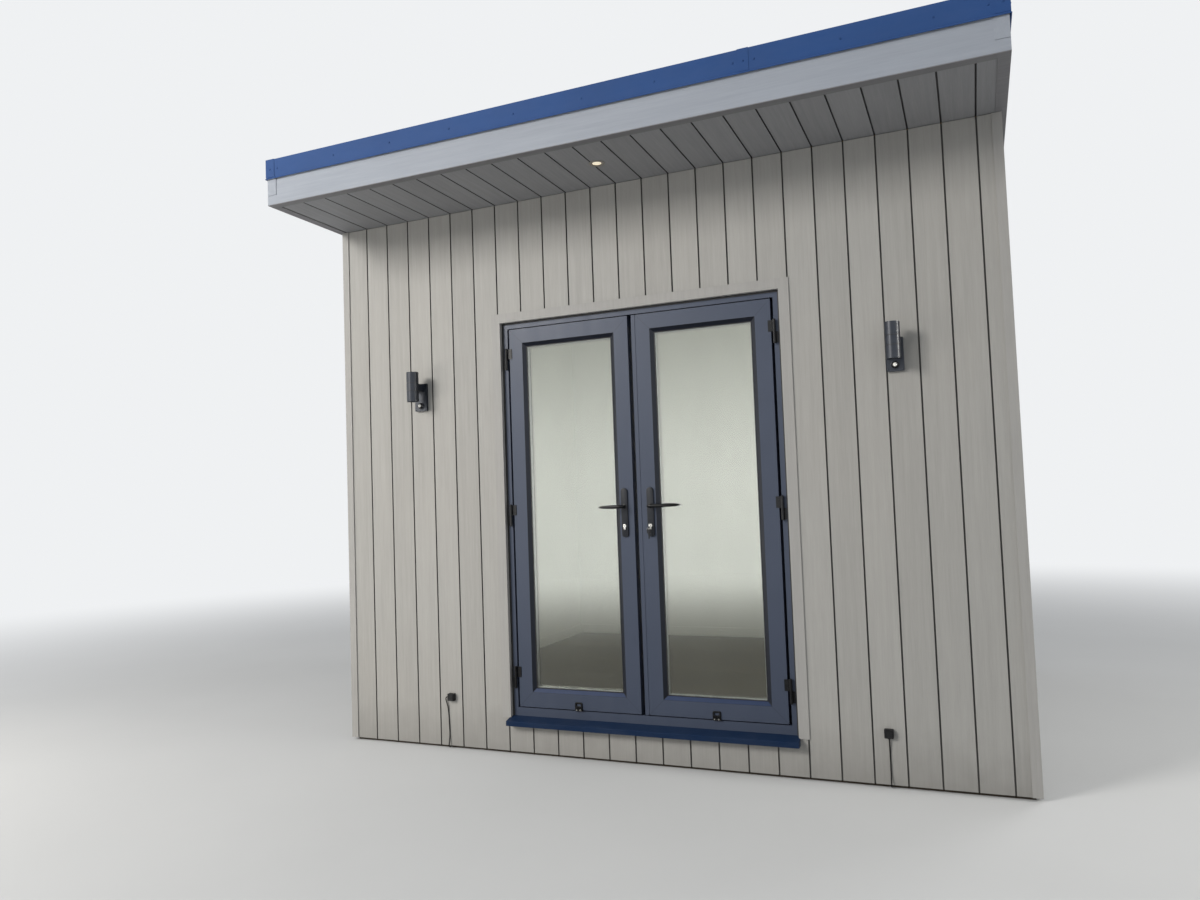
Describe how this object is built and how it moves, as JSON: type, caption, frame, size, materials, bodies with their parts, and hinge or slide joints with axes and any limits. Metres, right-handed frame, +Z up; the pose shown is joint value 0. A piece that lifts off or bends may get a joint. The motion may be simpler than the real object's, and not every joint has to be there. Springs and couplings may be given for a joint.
{
  "type": "garden office pod",
  "caption": "Flat-roofed garden office pod with grooved vertical board cladding, a deep front overhang, outward French doors and a wall light on each side of them.",
  "frame": {"origin": "middle of the overall footprint, on the ground that the bearers stand on", "axes": "+Z up; X along the front; the doors and the deep overhang face -Y"},
  "size_m": [3.637, 3.628, 3.2115],
  "materials": {
    "composite_cladding": "brushed composite boards with a fine wood grain",
    "composite_trim": "composite angle with a fine wood grain",
    "fascia_board": "pale grey composite board with a fine grain",
    "fascia_trim": "pale grey composite angle",
    "roof_edge_metal": "satin blue-grey coating",
    "sill_metal": "satin dark blue-grey coating",
    "roof_membrane": "matt black rubber sheet",
    "door_profile": "anthracite foil on plastic profile",
    "glass": "clear double glazing",
    "black_hardware": "satin black coating",
    "light_housing": "fine textured dark grey coating",
    "lamp_white": "glossy white",
    "outlet_plastic": "black moulded plastic",
    "cable_rubber": "black flexible sheath",
    "structure": "sawn timber and board",
    "white_lining": "painted board",
    "floor_laminate": "laid boards with a satin finish"
  },
  "bodies": {
    "pod": {"base_bearers": "structure", "side_bearers": "structure", "floor_deck": "structure", "floor_boards": "floor_laminate", "front_wall_left": "structure", "front_wall_right": "structure", "front_wall_head": "structure", "left_wall": "structure", "right_wall": "structure", "back_wall": "structure", "inner_lining": "white_lining", "ceiling": "white_lining", "skirting": "white_lining", "front_cladding": "composite_cladding", "left_cladding": "composite_cladding", "right_cladding": "composite_cladding", "back_cladding": "composite_cladding", "corner_trims": "composite_trim", "door_surround": "composite_trim", "roof_deck": "structure", "roof_membrane": "roof_membrane", "soffit_boards": "fascia_board", "fascia_front": "fascia_board", "fascia_left": "fascia_board", "fascia_right": "fascia_board", "fascia_back": "fascia_board", "eaves_trims": "fascia_trim", "fascia_corner_trims": "fascia_trim", "roof_edge_trims": "roof_edge_metal", "roof_edge_clips": "roof_edge_metal", "downlight": "lamp_white", "door_frame_head": "door_profile", "door_frame_left": "door_profile", "door_frame_right": "door_profile", "door_threshold": "door_profile", "door_sill": "sill_metal", "frame_hinges": "black_hardware", "wall_lights": "light_housing", "light_sensors": "lamp_white", "cable_outlets": "outlet_plastic", "left_cable": "cable_rubber", "right_cable": "cable_rubber"},
    "left_door": {"left_leaf": "door_profile", "left_glass": "glass", "left_hinges": "black_hardware", "left_handle_plates": "black_hardware"},
    "left_handle": {"left_lever": "black_hardware"},
    "right_door": {"right_leaf": "door_profile", "right_glass": "glass", "right_hinges": "black_hardware", "right_handle_plates": "black_hardware", "meeting_strip": "door_profile"},
    "right_handle": {"right_lever": "black_hardware"}
  },
  "joints": [
    {"name": "left_door_hinge", "type": "hinge", "parent": "pod", "child": "left_door", "pos_m": [-0.713, -1.2155, 0.402], "axis": [0, 0, -1], "range_deg": [0, 100]},
    {"name": "right_door_hinge", "type": "hinge", "parent": "pod", "child": "right_door", "pos_m": [0.749, -1.2155, 0.402], "axis": [0, 0, 1], "range_deg": [0, 100]},
    {"name": "left_lever_turn", "type": "hinge", "parent": "left_door", "child": "left_handle", "pos_m": [-0.056, -1.2, 1.291], "axis": [0, -1, 0], "range_deg": [0, 40], "stiffness_Nm_per_rad": 1, "springref_deg": -57.3},
    {"name": "right_lever_turn", "type": "hinge", "parent": "right_door", "child": "right_handle", "pos_m": [0.084, -1.2, 1.291], "axis": [0, 1, 0], "range_deg": [0, 40], "stiffness_Nm_per_rad": 1, "springref_deg": -57.3}
  ]
}
